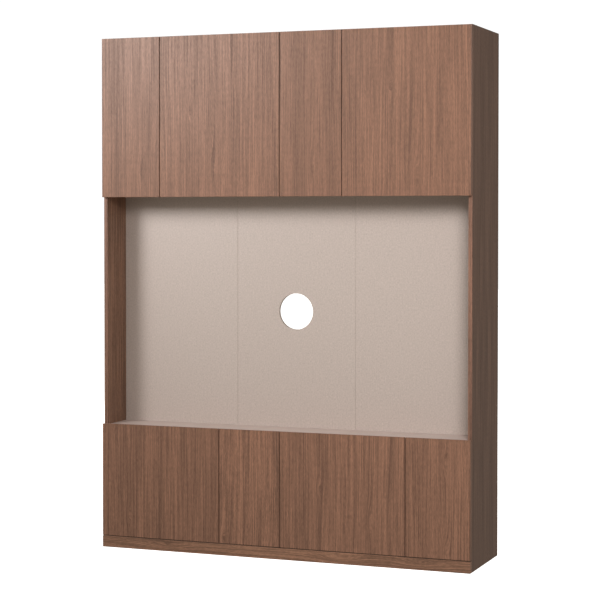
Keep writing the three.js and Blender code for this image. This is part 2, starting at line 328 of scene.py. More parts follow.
side_veins = (
    (-0.205, 0.008, -0.08), (-0.180, 0.016, 0.07), (-0.125, 0.018, -0.06), (0.028, 0.026, -0.07),
    (0.128, 0.030, 0.05), (0.183, 0.009, -0.14), (0.203, 0.008, 0.12),
)
shaded_side_walnut = walnut(
    "side walnut", SHADED_SIDE_WALNUT, (3.1, 0, 0), SIDE_GRAIN_TURN, veins=side_veins, contrast=0.9, roughness=0.5
)
inner_side_walnut = walnut("inner side walnut", INNER_SIDE_WALNUT, (5.3, 0, 0), SIDE_GRAIN_TURN, contrast=1.1)
band_walnut = walnut("side band walnut", BAND_WALNUT, (8.3, 0, 0), contrast=0.8)
LEFT_SHELVES = ("upper_left_shelf", "lower_left_shelf")
RIGHT_SHELVES = ("upper_right_shelf", "lower_right_shelf")
for side, shelves in ((-1, LEFT_SHELVES), (1, RIGHT_SHELVES)):
    hand = "left" if side < 0 else "right"
    low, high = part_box(f"side_panel_{hand}")
    panel = block(f"side_board_{hand}", low, high)
    ease(panel, EDGE_EASE, EASE_STEPS)
    inner_face = high.x if side < 0 else low.x
    drill_pin_rows(panel, inner_face, side, shelves)
    fit(panel, "carcass", "walnut_sides", shaded_side_walnut, inner_side_walnut, band_walnut)
    # Outer faces take the darker walnut with its painted shade, inner faces the plain walnut, and front edges
    # the band.
    for face in panel.data.polygons:
        outwards = face.normal.x * side
        face.material_index = 2 if face.normal.y < -0.5 else 0 if outwards > 0.5 else 1
    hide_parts(f"side_panel_{hand}")


# The level boards that tie the sides together: the top in walnut, and the base and stretcher in melamine.
# Each is particle board, butted between the sides on cams and dowels, with its edges banded and eased.
INNER_BEIGE = (0.560, 0.485, 0.425)
LEVEL_GRAIN_TURN = (0, math.radians(90), 0)


def melamine(name, colour, mottle, roughness=0.55):
    """Plain melamine: a barely mottled print under a fine pearl texture."""
    material, place = blank_material(name)
    tree = material.node_tree
    cloud = feed(tree, "TexNoise", {"Vector": place, "Scale": 14.0, "Detail": 3.0})
    pearl = feed(tree, "TexNoise", {"Vector": place, "Scale": 900.0, "Detail": 1.0})
    stops = ((0.25, [1 - mottle] * 3), (0.75, [1 + mottle] * 3))
    blend = multiply_add(tree, pearl, 0.35, multiply_add(tree, cloud, 0.65, 0.0))
    bump = feed(tree, "Bump", {"Strength": 0.2, "Distance": 0.0001, "Height": pearl})
    gloss = feed(tree, "MapRange", {"Value": pearl, "To Min": roughness - 0.08, "To Max": roughness + 0.08})
    sockets = {"Base Color": tint_ramp(tree, blend, colour, stops), "Roughness": gloss, "Normal": bump}
    return finished(material, sockets)


def banded_board(name, node, slot, material):
    """A board with eased edges that stands for a CAD board."""
    board = block(name, *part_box(node))
    ease(board, EDGE_EASE, EASE_STEPS)
    fit(board, "carcass", slot, material)
    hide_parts(node)
    return board


inner_melamine = melamine("inner melamine", INNER_BEIGE, 0.03)
# The top takes the side panels' darker walnut, with the same painted shade.
top_walnut = walnut(
    "top walnut", SHADED_SIDE_WALNUT, (7.3, 0, 2.0), LEVEL_GRAIN_TURN, contrast=0.6, roughness=0.75, specular=0.15
)
banded_board("top_board", "top_panel", "walnut_sides", top_walnut)
banded_board("base_board", "base_panel", "inner_board", inner_melamine)
banded_board("stretcher_board", "base_stretcher", "inner_board", inner_melamine)


# The two dividers stand in the middle of the upper and lower cabinets, and carry two doors each.
# They are melamine boards, fixed by dowels above and below, with pin rows drilled on both faces.
for level in ("upper", "lower"):
    low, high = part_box(f"{level}_divider")
    divider = block(f"{level}_divider_board", low, high)
    ease(divider, EDGE_EASE, EASE_STEPS)
    drill_pin_rows(divider, low.x, -1, (f"{level}_left_shelf",))
    drill_pin_rows(divider, high.x, 1, (f"{level}_right_shelf",))
    fit(divider, "carcass", "inner_board", inner_melamine)
    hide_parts(f"{level}_divider")


# Four loose shelves, one in each compartment, of melamine board with a band on every edge.
# Each lies on four steel pins pushed into the drilled rows, under a collar that stops them.
PIN_REACH = 0.0068
COLLAR_RADIUS = 0.0038
COLLAR_WIDTH = 0.0012
PIN_SIDES = 16
PIN_EASE = 0.0004
PIN_FIT_SHARE = 0.97
SHANK_SHARE = 0.95
SHELF_END_GAP = 0.0005
FLAT_REACH = 0.01
STEEL = (0.60, 0.60, 0.61)


def brushed_steel(name, colour, roughness=0.32):
    """Nickel-plated pressed steel, with faint drawing marks."""
    material, place = blank_material(name)
    tree = material.node_tree
    drawn = feed(tree, "VectorMath", {0: place, 1: (350.0, 350.0, 2600.0)}, operation="MULTIPLY")
    marks = feed(tree, "TexNoise", {"Vector": drawn, "Scale": 1.0, "Detail": 2.0})
    dull = feed(tree, "TexNoise", {"Vector": place, "Scale": 120.0, "Detail": 2.0})
    stops = ((0.2, (0.86, 0.85, 0.84)), (0.8, (1.08, 1.08, 1.08)))
    bump = feed(tree, "Bump", {"Strength": 0.12, "Distance": 0.00005, "Height": marks})
    gloss = feed(tree, "MapRange", {"Value": dull, "To Min": roughness - 0.08, "To Max": roughness + 0.12})
    sockets = {"Base Color": tint_ramp(tree, marks, colour, stops), "Roughness": gloss, "Normal": bump}
    sockets["Metallic"] = 1.0
    return finished(material, sockets)


hinge_steel = brushed_steel("hinge steel", STEEL)
for node in LEFT_SHELVES + RIGHT_SHELVES:
    low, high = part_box(node)
    place = node.removesuffix("_shelf")
    banded_board(f"{place}_shelf_board", node, "inner_board", inner_melamine)
    pin_height, _, rows = pin_places(node)
    ends = []
    for outwards, shelf_end in ((-1, low.x), (1, high.x)):
        wall = shelf_end + outwards * SHELF_END_GAP
        shank_end = wall + outwards * PIN_HOLE_DEPTH * SHANK_SHARE
        tip = wall - outwards * PIN_REACH
        pin = rod("pin", (shank_end, 0, 0), (tip, 0, 0), PIN_RADIUS * PIN_FIT_SHARE, PIN_SIDES)
        ease(pin, PIN_EASE, EASE_STEPS)
        collar_end = (wall - outwards * COLLAR_WIDTH, 0, 0)
        collar = rod("collar", (wall, 0, 0), collar_end, COLLAR_RADIUS, PIN_SIDES)
        # The collar is cut away above the pin, where the shelf lies.
        flat_low = (wall - FLAT_REACH, -FLAT_REACH, PIN_RADIUS)
        flat = block("flat", flat_low, (wall + FLAT_REACH, FLAT_REACH, FLAT_REACH))
        shaped(pin, "UNION", shaped(collar, "DIFFERENCE", flat))
        ends.append(repeat(pin, [(0, row, pin_height) for row in rows]))
    fit(joined(ends, f"{place}_shelf_pins"), "carcass", "hinge_steel", hinge_steel)


# The niche's ceiling and deck: laminate boards, the ceiling tan, and the deck beige and thicker because
# it carries the set. Their front edges are banded to match, and the doors stand just proud of them.
CEILING_TAN = (0.400, 0.270, 0.200)
DECK_BEIGE = (0.597, 0.488, 0.450)
ceiling_laminate = melamine("niche ceiling laminate", CEILING_TAN, 0.02, 0.5)
deck_laminate = melamine("niche deck laminate", DECK_BEIGE, 0.02, 0.5)
banded_board("niche_ceiling_board", "niche_ceiling_panel", "linen_laminate", ceiling_laminate)
banded_board("niche_deck_board", "niche_deck_panel", "linen_laminate", deck_laminate)


# The niche's back: three boards in laminate with a linen weave, set edge to edge with a hair joint.
# The middle one has a round hole sawn through it for the cables, with its rim eased.
LINEN = (0.448, 0.369, 0.330)
HOLE_RADIUS = 0.084
HOLE_HEIGHT = 0.541
HOLE_SIDES = 128
JOINT_EASE = 0.0011
RIM_EASE = 0.0008
RIM_REACH = 0.001
SAW_REACH = 0.01


def linen(name, colour):
    """Laminate printed and pressed as linen: uneven upright and level threads, with slubs."""
    material, place = blank_material(name)
    tree = material.node_tree
    upright = streaks(tree, place, 250.0, 105.0, 2.0)
    level_place = feed(tree, "Mapping", {"Vector": place, "Rotation": LEVEL_GRAIN_TURN})
    level = streaks(tree, level_place, 250.0, 105.0, 2.0)
    slubs = streaks(tree, place, 300.0, 14.0, 1.0)
    weave = multiply_add(tree, upright, 0.6, multiply_add(tree, level, 0.4, 0.0))
    print_shade = multiply_add(tree, slubs, 0.2, multiply_add(tree, weave, 1.0, -0.10))
    stops = ((0.25, (0.79, 0.78, 0.77)), (0.75, (1.21, 1.22, 1.23)))
    bump = feed(tree, "Bump", {"Strength": 0.35, "Distance": 0.0003, "Height": weave})
    gloss = feed(tree, "MapRange", {"Value": weave, "To Min": 0.40, "To Max": 0.52})
    sockets = {"Base Color": tint_ramp(tree, print_shade, colour, stops), "Roughness": gloss, "Normal": bump}
    sockets["Specular IOR Level"] = 0.8
    return finished(material, sockets)


linen_laminate = linen("linen laminate", LINEN)
for place in ("left", "centre", "right"):
    low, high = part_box(f"niche_back_{place}")
    back = block(f"niche_back_board_{place}", low, high)
    ease(back, JOINT_EASE, EASE_STEPS)
    if place == "centre":
        middle = low.z + HOLE_HEIGHT
        saw_start = (0, low.y - SAW_REACH, middle)
        saw = rod("hole_saw", saw_start, (0, high.y + SAW_REACH, middle), HOLE_RADIUS, HOLE_SIDES)
        shaped(back, "DIFFERENCE", saw)
        rim_reach = HOLE_RADIUS + RIM_REACH
        hole = Vector((0, middle))

        def on_rim(point, way):
            from_hole = (Vector((point.x, point.z)) - hole).length
            return from_hole < rim_reach and abs(way.y) < 0.5

        ease(back, RIM_EASE, EASE_STEPS, on_rim)
    fit(back, "carcass", "linen_laminate", linen_laminate)
    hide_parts(f"niche_back_{place}")


# Two battens screwed behind the joints of the niche's back hold its three boards in one plane.
# They are raw pine strips, eased by sanding, each with a row of pan-head screws.
BATTEN_WIDTH = 0.060
BATTEN_THICKNESS = 0.016
BATTEN_END_GAP = 0.030
BATTEN_EASE = 0.0015
SCREW_RADIUS = 0.0038
SCREW_RISE = 0.0022
SCREW_SIDES = 16
DOME_STEPS = 3
DOME_SHARE = 0.45
TOP_SHARE = 0.1
RECESS_REACH_SHARE = 0.6
RECESS_WIDTH_SHARE = 0.12
RECESS_FLOOR_SHARE = 0.45
RECESS_TOP_SHARE = 1.5
BATTEN_SCREWS = 6
PINE = (0.60, 0.44, 0.28)


def screw_head(name, seat, way, radius=SCREW_RADIUS, rise=SCREW_RISE):
    """A domed pan head with a cross recess, on a seat and facing one way."""
    seat, way = Vector(seat), Vector(way)
    head = rod(name, seat, seat + way * rise, radius, SCREW_SIDES)
    top = seat + way * rise
    rim_depth = rise * TOP_SHARE
    ease(head, rise * DOME_SHARE, DOME_STEPS, lambda middle, edge: (middle - top).dot(way) > -rim_depth)
    across = Vector((0, 0, 1)) if abs(way.z) < 0.5 else Vector((1, 0, 0))
    for arm in (across, way.cross(across)):
        reach = arm * radius * RECESS_REACH_SHARE
        half = way.cross(arm) * radius * RECESS_WIDTH_SHARE
        recess_floor = seat + way * rise * RECESS_FLOOR_SHARE
        corners = [recess_floor + part for part in (reach + half, -reach - half)]
        corners.append(seat + way * rise * RECESS_TOP_SHARE)
        low = [min(corner[i] for corner in corners) for i in range(3)]
        high = [max(corner[i] for corner in corners) for i in range(3)]
        shaped(head, "DIFFERENCE", block("recess", low, high))
    return head


pine = walnut("pine batten", PINE, (1.0, 0, 0), contrast=0.8, roughness=0.7)
centre_low, centre_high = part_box("niche_back_centre")
for hand, joint in (("left", centre_low.x), ("right", centre_high.x)):
    start = (joint - BATTEN_WIDTH / 2, centre_high.y, centre_low.z + BATTEN_END_GAP)
    end = (joint + BATTEN_WIDTH / 2, centre_high.y + BATTEN_THICKNESS, centre_high.z - BATTEN_END_GAP)
    batten = block(f"niche_back_batten_{hand}", start, end)
    ease(batten, BATTEN_EASE, EASE_STEPS)
    fit(batten, "carcass", "inner_board", pine)
    head = screw_head("batten_screw", (0, end[1], 0), (0, 1, 0))
    rise = (end[2] - start[2] - 2 * BATTEN_WIDTH) / (BATTEN_SCREWS - 1)
    places = [
        (joint + side * BATTEN_WIDTH / 4, 0, start[2] + BATTEN_WIDTH + rise * i)
        for i in range(BATTEN_SCREWS)
        for side in (-1, 1)
    ]
    fit(repeat(head, places, f"batten_screws_{hand}"), "carcass", "hinge_steel", hinge_steel)


# Two thin fibreboard sheets close the cabinets' backs and keep them square, lacquered to match inside.
# They are pinned to the rear edges of the inner boards with small flat-headed nails.
SHEET_COLOUR = (0.430, 0.330, 0.255)
NAIL_RADIUS = 0.0024
NAIL_RISE = 0.0006
NAIL_PITCH = 0.150
NAIL_EASE = 0.0002
SHEET_EASE = 0.0005


def fibreboard(name, colour):
    """Hardboard: short pressed fibres in warm brown, under thin lacquer."""
    material, place = blank_material(name)
    tree = material.node_tree
    fibres = feed(tree, "TexNoise", {"Vector": place, "Scale": 260.0, "Detail": 4.0, "Distortion": 1.5})
    cloud = feed(tree, "TexNoise", {"Vector": place, "Scale": 7.0, "Detail": 2.0})
    mix = multiply_add(tree, fibres, 0.85, multiply_add(tree, cloud, 0.15, 0.0))
    stops = ((0.25, (0.82, 0.81, 0.80)), (0.75, (1.16, 1.17, 1.18)))
    bump = feed(tree, "Bump", {"Strength": 0.3, "Distance": 0.0002, "Height": fibres})
    gloss = feed(tree, "MapRange", {"Value": fibres, "To Min": 0.55, "To Max": 0.75})
    sockets = {"Base Color": tint_ramp(tree, mix, colour, stops), "Roughness": gloss, "Normal": bump}
    return finished(material, sockets)


sheet_lacquer = fibreboard("rear sheet lacquer", SHEET_COLOUR)
EDGE_BOARDS = {"upper": ("niche_ceiling_panel", "top_panel"), "lower": ("base_panel", "niche_deck_panel")}
for level, (under, over) in EDGE_BOARDS.items():
    low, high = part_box(f"{level}_rear_sheet")
    sheet = block(f"{level}_rear_board", low, high)
    ease(sheet, SHEET_EASE, EASE_STEPS)
    fit(sheet, "carcass", "rear_sheet", sheet_lacquer)
    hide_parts(f"{level}_rear_sheet")
    nail = rod("nail", (0, high.y, 0), (0, high.y + NAIL_RISE, 0), NAIL_RADIUS, PIN_HOLE_SIDES)
    ease(nail, NAIL_EASE, 1, lambda middle, way, face=high.y: middle.y > face + NAIL_RISE / 2)
    places = []
    for node in (under, over):
        board_low, board_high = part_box(node)
        nail_height = (max(board_low.z, low.z) + min(board_high.z, high.z)) / 2
        steps = round((high.x - low.x) / NAIL_PITCH)
        pitch = (high.x - low.x) / steps
        places += [(low.x + pitch * (i + 0.5), 0, nail_height) for i in range(steps)]
    divider_low, divider_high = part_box(f"{level}_divider")
    steps = round((divider_high.z - divider_low.z) / NAIL_PITCH)
    pitch = (divider_high.z - divider_low.z) / steps
    places += [(0, 0, divider_low.z + pitch * (i + 0.5)) for i in range(steps)]
    fit(repeat(nail, places, f"{level}_rear_nails"), "carcass", "hinge_steel", hinge_steel)


# The wall rail: a board let in between the sides behind the niche, through which the cabinet is screwed
# to the wall. Five large washers and screws wait in it.
WALL_SCREWS = 5
WALL_SCREW_PITCH = 0.38
WALL_SCREW_RADIUS = 0.0052
WALL_SCREW_RISE = 0.003
WASHER_RADIUS = 0.010
WASHER_RISE = 0.0015
WASHER_EASE = 0.0003
WASHER_SIDES = 24
rail_low, rail_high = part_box("wall_rail")
banded_board("wall_rail_board", "wall_rail", "inner_board", inner_melamine)
rail_face = Vector((0, rail_low.y, (rail_low.z + rail_high.z) / 2))
washer_top = rail_face - Vector((0, WASHER_RISE, 0))
washer = rod("washer", rail_face, washer_top, WASHER_RADIUS, WASHER_SIDES)
ease(washer, WASHER_EASE, 1)
wall_screw = screw_head("wall_screw", washer_top, (0, -1, 0), WALL_SCREW_RADIUS, WALL_SCREW_RISE)
shaped(washer, "UNION", wall_screw)
rail_places = [((i - (WALL_SCREWS - 1) / 2) * WALL_SCREW_PITCH, 0, 0) for i in range(WALL_SCREWS)]
fit(repeat(washer, rail_places, "wall_rail_screws"), "carcass", "hinge_steel", hinge_steel)


# The plinth board closes the gap under the lower doors, in their plane, and stands on the floor.
# It is walnut laminate with its grain running level and banded edges, pinned to the battens behind it.
PLINTH_WALNUT = (0.240, 0.124, 0.078)
plinth_figures = (
    (0.030, -0.66, 0.020, 0.09, 0.020),
    (0.026, -0.30, 0.016, 0.10, 0.018),
    (0.024, 0.55, 0.018, 0.12, 0.020),
)
plinth_walnut = walnut(
    "plinth walnut", PLINTH_WALNUT, (11.0, 0, 4.0), LEVEL_GRAIN_TURN, plinth_figures, contrast=1.2
)
plinth = block("plinth_front", *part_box("plinth_board"))
ease(plinth, EDGE_EASE, EASE_STEPS)
fit(plinth, "carcass", "walnut_plinth", plinth_walnut)
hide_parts("plinth_board")


# A dust lip lies along the plinth board's upper edge, under the doors, which just clear it.
# It is an extruded strip of dark brown rubber, glued down, and its near-black colour is painted shade in the
# gap under the doors.
LIP_INSET = 0.003
LIP_GAP = 0.0006
LIP_SHADE_BROWN = (0.032, 0.023, 0.018)


def shade_lip_rubber(name):
    """Dark brown rubber, dull and a little dusty, near black as painted shade in the gap under the doors."""
    material, place = blank_material(name)
    tree = material.node_tree
    dust = feed(tree, "TexNoise", {"Vector": place, "Scale": 120.0, "Detail": 4.0})
    colour = tint_ramp(tree, dust, LIP_SHADE_BROWN, ((0.3, (0.8, 0.8, 0.8)), (0.7, (1.3, 1.3, 1.3))))
    gloss = feed(tree, "MapRange", {"Value": dust, "To Min": 0.6, "To Max": 0.85})
    return finished(material, {"Base Color": colour, "Roughness": gloss, "Specular IOR Level": 0.3})


plinth_low, plinth_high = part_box("plinth_board")
base_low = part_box("base_panel")[0]
lip_low = (plinth_low.x + EDGE_EASE, plinth_low.y + LIP_INSET, plinth_high.z)
lip_high = (plinth_high.x - EDGE_EASE, plinth_high.y, base_low.z - LIP_GAP)
lip = block("plinth_dust_and_shade_lip", lip_low, lip_high)
ease(lip, LIP_GAP, EASE_STEPS)
fit(lip, "carcass", "walnut_plinth", shade_lip_rubber("shade lip rubber"))


# Two battens lie in the corner between the base board and the plinth board, one on each side of the
# stretcher. They are raw pine strips, glued and pinned, and hold the plinth board upright.
PLINTH_BATTEN_DEPTH = 0.018
PLINTH_BATTEN_HEIGHT = 0.012
stretcher_low, stretcher_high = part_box("base_stretcher")
batten_spans = {
    "left": (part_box("side_panel_left")[1].x, stretcher_low.x),
    "right": (stretcher_high.x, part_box("side_panel_right")[0].x),
}
for hand, (start, end) in batten_spans.items():
    low = (start, plinth_high.y, base_low.z - PLINTH_BATTEN_HEIGHT)
    high = (end, plinth_high.y + PLINTH_BATTEN_DEPTH, base_low.z)
    batten = block(f"plinth_batten_{hand}", low, high)
    ease(batten, EDGE_EASE, 1)
    fit(batten, "carcass", "inner_board", pine)


# The eight doors: walnut laminate on particle board, flat, with no handle. Each has a long bevel for the
# fingers along the back of its free level edge, banded edges, and two bores for its hinge cups.
FINGER_BEVEL = 0.010
HINGE_END_DISTANCE = 0.090
CUP_SETBACK = 0.0225
BORE_RADIUS = 0.0175
BORE_DEPTH = 0.012
BORE_SIDES = 48
DOOR_WALNUT = (0.222, 0.112, 0.072)
# The band walnut on the doors' upright edges is darker than their faces: painted shade for the gaps between
# the doors.
DOOR_BAND_PAINTED_SHADE = (0.167, 0.084, 0.054)
# For each door: its hinge edge, where its laminate was cut from the sheet, its tone and contrast, its
# flames and knots, and its veins.
DOORS = {
    "upper_left_narrow": (
        "left", (938.0, 0, 14.9), 0.93, 0.8,
        ((-0.708, 1.781, 0.012, 0.060, 0.012),),
        (
            (-0.883, 0.006, 0.13), (-0.813, 0.020, -0.08), (-0.751, 0.014, 0.16), (-0.731, 0.006, 0.08),
            (-0.713, 0.006, -0.08), (-0.678, 0.014, 0.16),
        ),
    ),
    "upper_left_wide": (
        "right", (1474.0, 0, 23.7), 0.97, 0.92,
        ((-0.450, 2.057, 0.010, 0.050, 0.014), (-0.334, 1.801, 0.014, 0.080, 0.013)),
        (
            (-0.523, 0.020, 0.12), (-0.476, 0.014, 0.11), (-0.338, 0.006, 0.13), (-0.273, 0.006, 0.10),
            (-0.253, 0.006, 0.17), (-0.233, 0.006, -0.17), (-0.193, 0.006, 0.29), (-0.131, 0.020, 0.17),
            (-0.101, 0.006, 0.17),
        ),
    ),
    "upper_right_narrow": (
        "left", (176.0, 0, 8.7), 1.0, 0.76,
        ((0.150, 1.800, 0.014, 0.090, 0.012),),
        (
            (0.047, 0.006, 0.09), (0.067, 0.006, -0.14), (0.084, 0.020, -0.06), (0.112, 0.020, -0.05),
            (0.259, 0.014, -0.15),
        ),
    ),
    "upper_right_wide": (
        "right", (1367.0, 0, 26.0), 1.0, 0.88,
        ((0.526, 2.143, 0.008, 0.028, 0.014), (0.645, 1.756, 0.012, 0.050, 0.018)),
        (
            (0.387, 0.006, 0.11), (0.440, 0.006, 0.19), (0.520, 0.014, -0.05), (0.565, 0.020, 0.13),
            (0.612, 0.006, -0.11), (0.635, 0.006, 0.12), (0.675, 0.006, 0.10), (0.727, 0.014, 0.22),
            (0.875, 0.020, 0.16),
        ),
    ),
    "lower_left_wide": (
        "left", (593.0, 0, 7.8), 0.97, 0.9,
        ((-0.764, 0.167, 0.011, 0.045, 0.018),),
        (
            (-0.861, 0.006, -0.13), (-0.726, 0.020, -0.19), (-0.651, 0.006, 0.21), (-0.603, 0.020, -0.11),
            (-0.576, 0.006, 0.10), (-0.556, 0.006, -0.20), (-0.511, 0.006, 0.09), (-0.483, 0.014, -0.20),
            (-0.333, 0.006, -0.17),
        ),
    ),
    "lower_left_narrow": (
        "right", (212.0, 0, 5.7), 1.06, 1.15,
        ((-0.284, 0.081, 0.012, 0.045, 0.018),),
        (
            (-0.245, 0.009, -0.20), (-0.200, 0.009, 0.28), (-0.173, 0.014, -0.10), (-0.118, 0.006, -0.08),
            (-0.095, 0.006, -0.22), (-0.068, 0.014, 0.17), (-0.025, 0.006, -0.11),
        ),
    ),
    "lower_right_wide": (
        "left", (617.0, 0, 12.8), 1.08, 0.85,
        ((0.189, 0.334, 0.012, 0.036, 0.012), (0.430, 0.200, 0.016, 0.080, 0.014)),
        (
            (0.044, 0.006, -0.26), (0.074, 0.006, -0.22), (0.094, 0.020, -0.18), (0.122, 0.014, -0.12),
            (0.199, 0.014, -0.19), (0.352, 0.006, -0.16), (0.512, 0.006, 0.30), (0.534, 0.006, -0.21),
            (0.552, 0.006, 0.15),
        ),
    ),
    "lower_right_narrow": (
        "right", (760.0, 0, 16.5), 1.01, 0.92,
        ((0.779, 0.482, 0.012, 0.050, 0.014), (0.784, 0.086, 0.020, 0.066, 0.021)),
        (
            (0.617, 0.006, 0.12), (0.694, 0.006, -0.17), (0.729, 0.014, 0.18), (0.772, 0.006, -0.09),
            (0.807, 0.006, 0.15), (0.829, 0.006, 0.25), (0.864, 0.006, 0.21),
        ),
    ),
}
DOOR_EASE = 0.0012
END_FACING = 0.5
SHADED_BAND_FACING = 0.3
door_end_walnut = walnut("door end walnut", DOOR_WALNUT, (40.0, 0, 2.0), LEVEL_GRAIN_TURN)
door_band_painted_shade = walnut("door band painted shade", DOOR_BAND_PAINTED_SHADE, (44.0, 0, 6.0), contrast=0.8)


def hinge_middles(name):
    """The middles of a door's two hinge cups on its back, and which way the door reaches from them."""
    low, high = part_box(f"{name}_door")
    towards = 1 if DOORS[name][0] == "left" else -1
    hinge_edge = low.x if towards > 0 else high.x
    heights = {"bottom": low.z + HINGE_END_DISTANCE, "top": high.z - HINGE_END_DISTANCE}
    x = hinge_edge + towards * CUP_SETBACK
    return {end: Vector((x, high.y, height)) for end, height in heights.items()}, towards


for name, (_, drift, tone, contrast, figures, veins) in DOORS.items():
    low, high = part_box(f"{name}_door")
    door = block(f"{name}_front", low, high)
    grip = low.z if name.startswith("upper") else high.z

    def on_grip(middle, way):
        return abs(middle.y - high.y) < DOOR_EASE and abs(middle.z - grip) < DOOR_EASE

    ease(door, FINGER_BEVEL, 1, on_grip)
    ease(door, DOOR_EASE, EASE_STEPS)
    for middle in hinge_middles(name)[0].values():
        bore_floor = middle - Vector((0, BORE_DEPTH, 0))
        bore_end = middle + Vector((0, BORE_DEPTH, 0))
        shaped(door, "DIFFERENCE", rod("bore", bore_floor, bore_end, BORE_RADIUS, BORE_SIDES))
    shade = [part * tone for part in DOOR_WALNUT]
    door_walnut = walnut(f"{name} walnut", shade, drift, (0, 0, 0), figures, veins, contrast)
    fit(door, f"{name}_door", "walnut_doors", door_walnut, door_end_walnut, door_band_painted_shade)
    # Faces on the upright edges take the darker band walnut, which is painted shade in the gaps between the
    # doors.
    for face in door.data.polygons:
        on_shaded_band = abs(face.normal.x) > SHADED_BAND_FACING
        face.material_index = 1 if abs(face.normal.z) > END_FACING else 2 if on_shaded_band else 0
    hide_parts(f"{name}_door")


# The hinge cups: pressed steel cups sunk in the doors' bores, with a flange that two screws hold down.
# The cup is one deep pressing with a step inside, and the flange is a plate with two rounded wings.
CUP_RADIUS = 0.0172
CUP_WALL = 0.0012
CUP_FLOOR = 0.0117
CUP_STEP = 0.0022
CUP_STEP_DEPTH = 0.0075
FLANGE_RADIUS = 0.0195
FLANGE_THICKNESS = 0.0012
WING_MIDDLE = 0.019
WING_RADIUS = 0.007
CUP_EASE = 0.0003
CUP_SIDES = 48
CUP_SCREW_PLACE = 0.0215
CUP_SCREW_RADIUS = 0.0032
CUP_SCREW_RISE = 0.0010


def press(piece, chosen, thickness, shift):
    """Insets the chosen faces and moves them by a shift, as a punch does."""
    pick(piece, "FACE", chosen)
    bpy.ops.mesh.inset(thickness=thickness)
    bpy.ops.mesh.extrude_region_move(TRANSFORM_OT_translate={"value": shift})
    bpy.ops.object.mode_set(mode="OBJECT")


def hinge_cup():
    """A cup and its flange round the origin, with the door's back at Y 0 and the cup towards -Y."""
    cup = rod("cup", (0, -CUP_FLOOR, 0), (0, FLANGE_THICKNESS, 0), CUP_RADIUS, CUP_SIDES)
    depth = CUP_FLOOR + FLANGE_THICKNESS - CUP_WALL
    flange = rod("flange", (0, 0, 0), (0, FLANGE_THICKNESS, 0), FLANGE_RADIUS, CUP_SIDES)
    spine = block("spine", (-WING_RADIUS, 0, -WING_MIDDLE), (WING_RADIUS, FLANGE_THICKNESS, WING_MIDDLE))
    shaped(flange, "UNION", spine)
    for side in (-1, 1):
        wing_middle = Vector((0, 0, side * WING_MIDDLE))
        wing_top = wing_middle + Vector((0, FLANGE_THICKNESS, 0))
        shaped(flange, "UNION", rod("wing", wing_middle, wing_top, WING_RADIUS, CUP_SIDES // 2))
    shaped(cup, "UNION", flange)
    hollow = rod("hollow", (0, -CUP_STEP_DEPTH, 0), (0, 1, 0), CUP_RADIUS - CUP_WALL, CUP_SIDES)
    shaped(cup, "DIFFERENCE", hollow)
    drop = (0, CUP_STEP_DEPTH + FLANGE_THICKNESS - depth, 0)
    press(cup, lambda middle, normal: normal.y > 0.9 and middle.y < -CUP_STEP_DEPTH / 2, CUP_STEP, drop)
    ease(cup, CUP_EASE, 1, lambda middle, way: middle.y > FLANGE_THICKNESS * 0.9)
    return cup


def placed(pattern, name, place, towards=1):
    """A copy of a piece with its own mesh, moved to its place, and mirrored where it faces left."""
    twin = pattern.copy()
    twin.data = pattern.data.copy()
    twin.name = twin.data.name = name
    bpy.context.collection.objects.link(twin)
    if towards < 0:
        twin.data.transform(Matrix.Diagonal((-1, 1, 1, 1)))
        twin.data.flip_normals()
    twin.data.transform(Matrix.Translation(place))
    return twin


def rounded(piece, degrees=35):
    """Smooths the curved faces of a pattern piece and keeps its sharper edges."""
    bpy.ops.object.select_all(action="DESELECT")
    bpy.context.view_layer.objects.active = piece
    piece.select_set(True)
    bpy.ops.object.shade_smooth_by_angle(angle=math.radians(degrees))
    return piece


cup_pattern = rounded(hinge_cup())
cup_screw_seat = (0, FLANGE_THICKNESS, 0)
cup_screw = screw_head("cup_screw", cup_screw_seat, (0, 1, 0), CUP_SCREW_RADIUS, CUP_SCREW_RISE)
cup_screws_pattern = rounded(repeat(cup_screw, [(0, 0, -CUP_SCREW_PLACE), (0, 0, CUP_SCREW_PLACE)]))
for name in DOORS:
    middles, towards = hinge_middles(name)
    for end, middle in middles.items():
        cup = placed(cup_pattern, f"{name}_{end}_cup", middle, towards)
        fit(cup, f"{name}_door", "hinge_steel", hinge_steel)
        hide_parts(f"{name}_{end}_hinge_cup")
        screws = placed(cup_screws_pattern, f"{name}_{end}_cup_screws", middle, towards)
        fit(screws, f"{name}_door", "hinge_steel", hinge_steel)
bpy.data.objects.remove(cup_pattern)
bpy.data.objects.remove(cup_screws_pattern)


# The hinge arms: folded steel arms on a mounting plate that is screwed to the side panel or divider.
# The arm's nose reaches into the cup, and two screws on its back set the door's place.
ARM_HALF_WIDTH = 0.006
ARM_BACK = 0.012
BODY_FRONT = 0.040
BODY_REAR = 0.082
NECK_REAR = 0.025
NECK_INNER = 0.01925
NECK_OUTER = 0.02575
NOSE_FRONT = 0.012
NOSE_REAR = 0.016
NOSE_END = 0.0365
ARM_CORNER = 0.0014
ARM_CORNER_STEPS = 3
ARM_EASE = 0.0005
SLOT_DEPTH = 0.0012
SLOT_HALF_WIDTH = 0.0026
SLOT_AHEAD = 0.001
SLOT_BEHIND = 0.009
PLATE_THICKNESS = 0.003
PLATE_FRONT = 0.046
PLATE_REAR = 0.068
PLATE_REACH = 0.026
PLATE_CORNER = 0.005
PLATE_CORNER_STEPS = 4
PLATE_EASE = 0.0004
# For each screw on the arm: its head's radius and rise.
WING_SCREW = (0.0040, 0.0018)
REAR_SCREW = (0.0036, 0.0012)
SIDE_SCREW = (0.0024, 0.0016)
WING_SCREW_PLACE = 0.016
REAR_SCREW_SETBACK = 0.010
SIDE_SCREW_SETBACK = 0.004
DOOR_THICKNESS = 0.018
SIDE_SEAT = DOOR_THICKNESS
DIVIDER_SEAT = 0.0075


